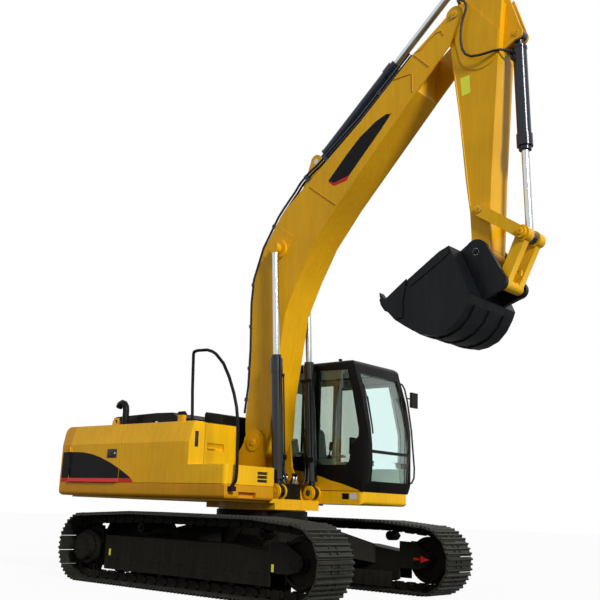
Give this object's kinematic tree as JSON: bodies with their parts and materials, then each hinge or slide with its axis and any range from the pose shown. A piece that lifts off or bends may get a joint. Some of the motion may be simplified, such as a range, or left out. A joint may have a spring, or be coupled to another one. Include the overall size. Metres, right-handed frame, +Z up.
{
  "type": "crawler excavator",
  "caption": "Crawler excavator with two steel tracks, a turning house with a cab, a raised bent boom, an arm and a curled bucket, all moved by hydraulic cylinders.",
  "frame": {"origin": "centre of the machine's outline on the ground under the tracks, with the boom raised as shown", "axes": "+X forward along the tracks, towards the boom; +Y to the driver's left, the cab's side; +Z up"},
  "size_m": [6.962, 3.17, 7.983],
  "materials": {
    "track_steel": "worn bright on the grousers' tips",
    "frame_black": "semi-gloss",
    "yellow": "gloss",
    "bright_yellow": "gloss",
    "black_paint": "semi-gloss",
    "blue_black": "gloss",
    "chrome": "polished",
    "pin_steel": "turned",
    "engine_grey": "matt",
    "cab_glass": "tinted",
    "seat_fabric": "woven",
    "bucket_black": "satin",
    "black_plastic": "fine grain",
    "hose_rubber": "smooth cover"
  },
  "bodies": {
    "undercarriage": {"track_left": "track_steel", "track_right": "track_steel", "idlers": "frame_black", "sprockets": "frame_black", "rollers": "frame_black", "side_frames": "frame_black", "car_body": "frame_black", "slew_ring": "frame_black"},
    "house": {"upper_frame": "yellow", "foot_pins": "pin_steel", "counterweight": "yellow", "skirts": "yellow", "body_panels": "yellow", "fuel_tank": "yellow", "filler_cap": "black_paint", "step_box": "bright_yellow", "box_frame": "bright_yellow", "tread_strips": "black_plastic", "valve_cover": "black_paint", "handrail": "black_paint", "exhaust": "black_paint", "engine": "engine_grey", "cab_base": "bright_yellow", "cab_shell": "black_paint", "cab_glass": "cab_glass", "cab_seat": "seat_fabric", "side_mirror": "black_plastic"},
    "hood": {"engine_hood": "black_paint"},
    "right_door": {"door_right": "yellow"},
    "left_door": {"door_left": "yellow"},
    "front_box_door": {"box_door": "bright_yellow"},
    "driver_door": {"cab_door": "black_paint", "door_glass": "cab_glass"},
    "boom": {"boom": "yellow", "boom_pins": "pin_steel", "boom_pipes": "black_paint", "boom_hoses": "hose_rubber"},
    "boom_barrels": {"boom_barrels": "black_paint", "cylinder_pipes": "pin_steel", "cylinder_hoses": "hose_rubber"},
    "boom_rods": {"boom_rods": "chrome"},
    "arm_barrel": {"arm_barrel": "blue_black"},
    "arm_rod": {"arm_rod": "chrome"},
    "arm": {"arm": "yellow", "arm_pins": "pin_steel", "arm_hose": "hose_rubber"},
    "bucket_barrel": {"bucket_barrel": "blue_black"},
    "bucket_rod": {"bucket_rod": "chrome"},
    "guide_links": {"guide_links": "bright_yellow"},
    "bucket_link": {"bucket_link": "bright_yellow"},
    "bucket": {"bucket": "bucket_black", "bucket_teeth": "bucket_black", "bucket_pin": "pin_steel"}
  },
  "joints": [
    {"name": "swing", "type": "hinge", "parent": "undercarriage", "child": "house", "pos_m": [-0.51, 0, 0.975], "axis": [0, 0, 1], "continuous": true},
    {"name": "boom_lift", "type": "hinge", "parent": "house", "child": "boom", "pos_m": [-0.46, 0, 1.84], "axis": [0, -1, 0], "range_deg": [-98.9, 8.7]},
    {"name": "boom_barrel_tilt", "type": "hinge", "parent": "house", "child": "boom_barrels", "pos_m": [0.055, 0, 1.213], "axis": [0, -1, 0], "range_deg": [-95.8, 8.5]},
    {"name": "boom_rod_slide", "type": "slide", "parent": "boom_barrels", "child": "boom_rods", "axis": [-0.0706, 0, 0.9975], "range_m": [-1.2252, 0.1079]},
    {"name": "arm_swing", "type": "hinge", "parent": "boom", "child": "arm", "pos_m": [2.58, 0, 7.03], "axis": [0, 1, 0], "range_deg": [-95.8, 20.7]},
    {"name": "arm_barrel_tilt", "type": "hinge", "parent": "boom", "child": "arm_barrel", "pos_m": [0.29, 0, 5.69], "axis": [0, 1, 0], "range_deg": [-4.65, 1.05]},
    {"name": "arm_rod_slide", "type": "slide", "parent": "arm_barrel", "child": "arm_rod", "axis": [0.7539, 0, 0.6569], "range_m": [-1.2705, 0.2749]},
    {"name": "bucket_turn", "type": "hinge", "parent": "arm", "child": "bucket", "pos_m": [2.86, 0, 3.915], "axis": [0, -1, 0], "range_deg": [-40, 108]},
    {"name": "guide_turn", "type": "hinge", "parent": "arm", "child": "guide_links", "pos_m": [2.888, 0, 4.416], "axis": [0, -1, 0], "range_deg": [-30.2, 81.4]},
    {"name": "bucket_link_turn", "type": "hinge", "parent": "guide_links", "child": "bucket_link", "pos_m": [3.395, 0, 4.064], "axis": [0, -1, 0], "range_deg": [-72.2, 26.8]},
    {"name": "bucket_barrel_tilt", "type": "hinge", "parent": "arm", "child": "bucket_barrel", "pos_m": [3.322, 0, 6.591], "axis": [0, -1, 0], "range_deg": [-2, 0.8]},
    {"name": "bucket_rod_slide", "type": "slide", "parent": "bucket_barrel", "child": "bucket_rod", "axis": [0.0289, 0, -0.9996], "range_m": [-0.8016, 0.2969]},
    {"name": "hood_lift", "type": "hinge", "parent": "house", "child": "hood", "pos_m": [-1.308, 0, 2.041], "axis": [0, 1, 0], "range_deg": [0, 60]},
    {"name": "right_door_turn", "type": "hinge", "parent": "house", "child": "right_door", "pos_m": [-2.934, -1.388, 1.5], "axis": [0, 0, -1], "range_deg": [0, 110]},
    {"name": "left_door_turn", "type": "hinge", "parent": "house", "child": "left_door", "pos_m": [-2.934, 1.388, 1.5], "axis": [0, 0, 1], "range_deg": [0, 110]},
    {"name": "front_box_door_turn", "type": "hinge", "parent": "house", "child": "front_box_door", "pos_m": [-0.499, -0.561, 1.7], "axis": [0, 0, 1], "range_deg": [0, 100]},
    {"name": "driver_door_turn", "type": "hinge", "parent": "house", "child": "driver_door", "pos_m": [-0.386, 1.461, 1.9], "axis": [0, 0, 1], "range_deg": [0, 165]}
  ],
  "couplings": [
    {"joint": "boom_barrel_tilt", "follows": "boom_lift", "ratio": 0.96795},
    {"joint": "boom_rod_slide", "follows": "boom_lift", "m_per_rad": 0.70962},
    {"joint": "arm_barrel_tilt", "follows": "arm_swing", "ratio": 0.0483},
    {"joint": "arm_rod_slide", "follows": "arm_swing", "m_per_rad": 0.7596},
    {"joint": "guide_turn", "follows": "bucket_turn", "ratio": 0.75321},
    {"joint": "bucket_link_turn", "follows": "bucket_turn", "ratio": -0.66785},
    {"joint": "bucket_barrel_tilt", "follows": "bucket_turn", "ratio": -0.018309},
    {"joint": "bucket_rod_slide", "follows": "bucket_turn", "m_per_rad": -0.4251}
  ]
}
